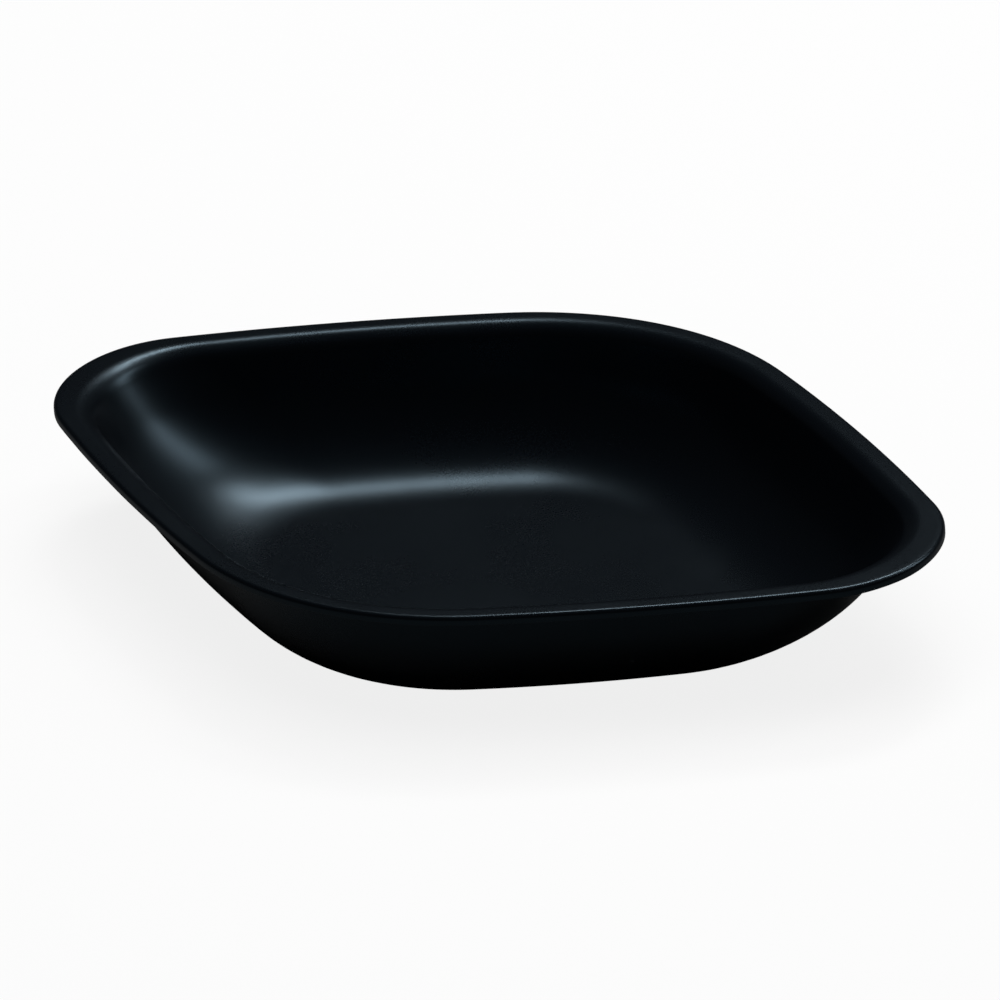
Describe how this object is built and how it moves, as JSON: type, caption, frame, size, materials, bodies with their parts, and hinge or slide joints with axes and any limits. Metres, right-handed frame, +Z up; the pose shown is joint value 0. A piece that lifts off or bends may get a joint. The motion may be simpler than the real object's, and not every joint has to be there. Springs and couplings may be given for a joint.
{
  "type": "weighing boat",
  "caption": "Shallow rounded-diamond plastic dish with a flat floor, drafted walls and a flanged rim, for weighing out and pouring powders and liquids.",
  "frame": {"origin": "centre of the floor's flat underside", "axes": "+Z up out of the mouth, +X along the long diagonal"},
  "size_m": [0.133, 0.089, 0.019],
  "materials": {
    "black_plastic": "satin black thermoformed polystyrene"
  },
  "bodies": {
    "root": {"weighing_boat": "black_plastic"}
  },
  "joints": []
}
